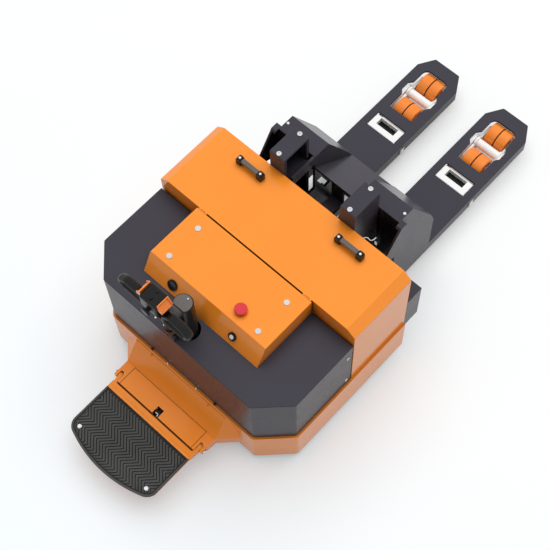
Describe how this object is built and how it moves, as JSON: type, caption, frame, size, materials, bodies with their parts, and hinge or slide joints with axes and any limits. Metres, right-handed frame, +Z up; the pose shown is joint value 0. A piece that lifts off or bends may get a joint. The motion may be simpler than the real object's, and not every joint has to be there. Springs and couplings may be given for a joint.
{
  "type": "electric pallet jack",
  "caption": "Walkie electric pallet jack with a battery body, steering tiller, folding operator step and two short forks on bogie load rollers.",
  "frame": {"origin": "centre of the footprint on the floor", "axes": "+X towards the fork tips, +Y to the truck's left, +Z up"},
  "size_m": [2.086, 0.896, 0.963],
  "materials": {
    "orange_paint": "gloss",
    "dark_paint": "satin",
    "chassis_paint": "satin",
    "white_metal": "satin",
    "steel": "brushed",
    "chrome": "polished",
    "cast": "as cast",
    "grey_metal": "satin",
    "black_plastic": "matte",
    "orange_plastic": "gloss",
    "red_plastic": "gloss",
    "battery_case": "matte",
    "mat_rubber": "matte",
    "roller_tread": "satin",
    "tyre_rubber": "matte"
  },
  "bodies": {
    "chassis": {"deck": "chassis_paint", "chassis_rails": "chassis_paint", "chassis_beams": "chassis_paint", "rear_boxes": "dark_paint", "steer_pedestal": "chassis_paint", "skirt": "orange_paint", "drive_cover": "dark_paint", "console": "orange_paint", "battery_box": "orange_paint", "battery_pack": "battery_case", "upright_left": "dark_paint", "upright_right": "dark_paint", "lift_cylinder": "chassis_paint", "pump_unit": "cast", "motor_controller": "grey_metal", "steer_ring": "steel", "charge_gauge": "black_plastic", "key_switch": "black_plastic", "body_screws": "chrome", "platform_carrier": "orange_paint", "platform_pins": "chrome", "lid_hinge_pins": "steel"},
    "lid": {"battery_lid": "orange_paint", "lid_handle_feet": "black_plastic", "lid_handle_bars": "grey_metal"},
    "carriage": {"carriage_frame": "dark_paint", "fork_left": "dark_paint", "fork_right": "dark_paint", "lift_ram": "chrome", "lever_pins": "white_metal"},
    "crank": {"crank_shaft": "steel"},
    "rods": {"push_rods": "steel"},
    "levers": {"swing_levers": "white_metal"},
    "bogies": {"bogie_frames": "white_metal", "bogie_axles": "steel"},
    "drive_unit": {"drive_yoke": "cast", "traction_motor": "cast"},
    "drive_wheel": {"drive_hub": "cast", "drive_tyre": "tyre_rubber"},
    "column": {"tiller_column": "black_plastic"},
    "tiller": {"tiller_arm": "black_plastic", "tiller_head": "black_plastic", "tiller_grips": "black_plastic"},
    "paddles": {"thumb_paddles": "orange_plastic"},
    "belly": {"belly_button": "black_plastic"},
    "horn": {"horn_button": "black_plastic"},
    "lift_switch": {"lift_button": "black_plastic"},
    "step": {"platform_pan": "orange_paint", "platform_mat": "mat_rubber"},
    "latch": {"platform_latch": "black_plastic"},
    "stop": {"stop_button": "red_plastic"},
    "key": {"key_barrel": "white_metal"},
    "caster_left": {"caster_fork_left": "chassis_paint"},
    "caster_roll_left": {"caster_wheel_left": "tyre_rubber"},
    "roller_left_front_spin": {"roller_left_front": "roller_tread"},
    "roller_left_rear_spin": {"roller_left_rear": "roller_tread"},
    "caster_right": {"caster_fork_right": "chassis_paint"},
    "caster_roll_right": {"caster_wheel_right": "tyre_rubber"},
    "roller_right_front_spin": {"roller_right_front": "roller_tread"},
    "roller_right_rear_spin": {"roller_right_rear": "roller_tread"}
  },
  "joints": [
    {"name": "lift", "type": "slide", "parent": "chassis", "child": "carriage", "axis": [0, 0, 1], "range_m": [0, 0.11]},
    {"name": "crank_turn", "type": "hinge", "parent": "carriage", "child": "crank", "pos_m": [0.292, 0, 0.112], "axis": [0, -1, 0], "range_deg": [0, 28.24]},
    {"name": "rod_push", "type": "slide", "parent": "carriage", "child": "rods", "axis": [1, 0, 0], "range_m": [0, 0.01277]},
    {"name": "lever_swing", "type": "hinge", "parent": "carriage", "child": "levers", "pos_m": [0.645, 0, 0.058], "axis": [0, 1, 0], "range_deg": [0, 28.24]},
    {"name": "bogie_level", "type": "hinge", "parent": "levers", "child": "bogies", "pos_m": [0.8755, 0, 0.066], "axis": [0, -1, 0], "range_deg": [0, 28.24]},
    {"name": "drive_steer", "type": "hinge", "parent": "chassis", "child": "drive_unit", "pos_m": [-0.418, 0, 0.287], "axis": [0, 0, 1], "range_deg": [-90, 90]},
    {"name": "drive_spin", "type": "hinge", "parent": "drive_unit", "child": "drive_wheel", "pos_m": [-0.418, 0, 0.115], "axis": [0, 1, 0], "continuous": true},
    {"name": "tiller_steer", "type": "hinge", "parent": "chassis", "child": "column", "pos_m": [-0.566, 0, 0.47], "axis": [0, 0, 1], "range_deg": [-90, 90]},
    {"name": "tiller_tilt", "type": "hinge", "parent": "column", "child": "tiller", "pos_m": [-0.626, 0, 0.594], "axis": [0, -1, 0], "range_deg": [0, 80], "stiffness_Nm_per_rad": 5, "springref_deg": -40.11},
    {"name": "thumb_turn", "type": "hinge", "parent": "tiller", "child": "paddles", "pos_m": [-0.662, 0, 0.945], "axis": [0, 1, 0], "range_deg": [-30, 30], "stiffness_Nm_per_rad": 0.3},
    {"name": "belly_push", "type": "slide", "parent": "tiller", "child": "belly", "axis": [1, 0, 0], "range_m": [0, 0.006], "stiffness_N_per_m": 300},
    {"name": "horn_push", "type": "slide", "parent": "tiller", "child": "horn", "axis": [0, 0, -1], "range_m": [0, 0.0025], "stiffness_N_per_m": 400, "springref_m": -0.001},
    {"name": "lift_push", "type": "slide", "parent": "tiller", "child": "lift_switch", "axis": [0, 0, -1], "range_m": [0, 0.0025], "stiffness_N_per_m": 400, "springref_m": -0.001},
    {"name": "step_fold", "type": "hinge", "parent": "chassis", "child": "step", "pos_m": [-0.756, 0, 0.112], "axis": [0, 1, 0], "range_deg": [0, 90]},
    {"name": "latch_slide", "type": "slide", "parent": "chassis", "child": "latch", "axis": [1, 0, 0], "range_m": [0, 0.008], "stiffness_N_per_m": 200},
    {"name": "stop_push", "type": "slide", "parent": "chassis", "child": "stop", "axis": [0, 0, -1], "range_m": [0, 0.006]},
    {"name": "key_turn", "type": "hinge", "parent": "chassis", "child": "key", "pos_m": [-0.49571, -0.136, 0.5595], "axis": [-0.8835, 0, 0.4684], "range_deg": [0, 90]},
    {"name": "lid_open", "type": "hinge", "parent": "chassis", "child": "lid", "pos_m": [-0.248, 0, 0.6054], "axis": [0, -1, 0], "range_deg": [0, 80]},
    {"name": "caster_swivel_left", "type": "hinge", "parent": "chassis", "child": "caster_left", "pos_m": [-0.398, 0.285, 0.21], "axis": [0, 0, 1], "continuous": true},
    {"name": "caster_spin_left", "type": "hinge", "parent": "caster_left", "child": "caster_roll_left", "pos_m": [-0.358, 0.285, 0.075], "axis": [0, 1, 0], "continuous": true},
    {"name": "caster_swivel_right", "type": "hinge", "parent": "chassis", "child": "caster_right", "pos_m": [-0.398, -0.285, 0.21], "axis": [0, 0, 1], "continuous": true},
    {"name": "caster_spin_right", "type": "hinge", "parent": "caster_right", "child": "caster_roll_right", "pos_m": [-0.358, -0.285, 0.075], "axis": [0, 1, 0], "continuous": true},
    {"name": "roller_left_front_turn", "type": "hinge", "parent": "bogies", "child": "roller_left_front_spin", "pos_m": [0.9505, 0.1725, 0.05], "axis": [0, 1, 0], "continuous": true},
    {"name": "roller_left_rear_turn", "type": "hinge", "parent": "bogies", "child": "roller_left_rear_spin", "pos_m": [0.8005, 0.1725, 0.05], "axis": [0, 1, 0], "continuous": true},
    {"name": "roller_right_front_turn", "type": "hinge", "parent": "bogies", "child": "roller_right_front_spin", "pos_m": [0.9505, -0.1725, 0.05], "axis": [0, 1, 0], "continuous": true},
    {"name": "roller_right_rear_turn", "type": "hinge", "parent": "bogies", "child": "roller_right_rear_spin", "pos_m": [0.8005, -0.1725, 0.05], "axis": [0, 1, 0], "continuous": true}
  ],
  "couplings": [
    {"joint": "crank_turn", "follows": "lift", "rad_per_m": 4.48},
    {"joint": "rod_push", "follows": "lift", "ratio": 0.11612},
    {"joint": "lever_swing", "follows": "lift", "rad_per_m": 4.48},
    {"joint": "bogie_level", "follows": "lift", "rad_per_m": 4.48},
    {"joint": "tiller_steer", "follows": "drive_steer", "ratio": 1}
  ]
}
